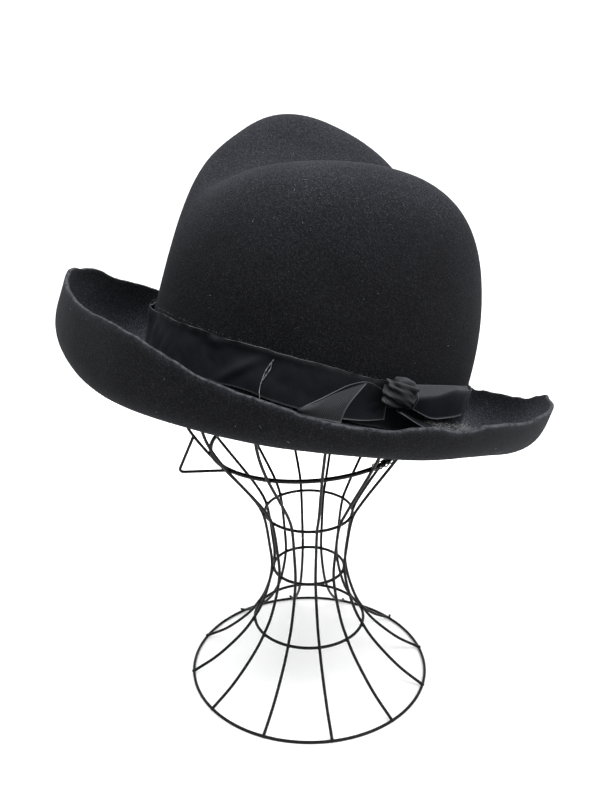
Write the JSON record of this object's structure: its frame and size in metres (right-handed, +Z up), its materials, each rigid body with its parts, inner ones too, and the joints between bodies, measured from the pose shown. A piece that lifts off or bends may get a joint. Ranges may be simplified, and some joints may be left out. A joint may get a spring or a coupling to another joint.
{
  "type": "felt hat on a wire hat stand",
  "caption": "Soft felt hat with a creased crown, curled raw-edge brim and ribbon bow, standing on a welded wire hat stand.",
  "frame": {"origin": "middle of the whole object's footprint, at the surface that the stand's base ring rests on", "axes": "+Z up, the hat's front toward -X and the wearer's left toward -Y"},
  "size_m": [0.316, 0.2704, 0.3764],
  "materials": {
    "felt": "matte black wool felt",
    "ribbon": "ribbed black ribbon",
    "wire": "satin black coated steel wire"
  },
  "bodies": {
    "root": {"felt_body": "felt", "ribbon_band": "ribbon", "ribbon_knot": "ribbon", "ribbon_loop": "ribbon", "ribbon_tail_upper": "ribbon", "ribbon_tail_lower": "ribbon", "wire_stand": "wire"}
  },
  "joints": []
}
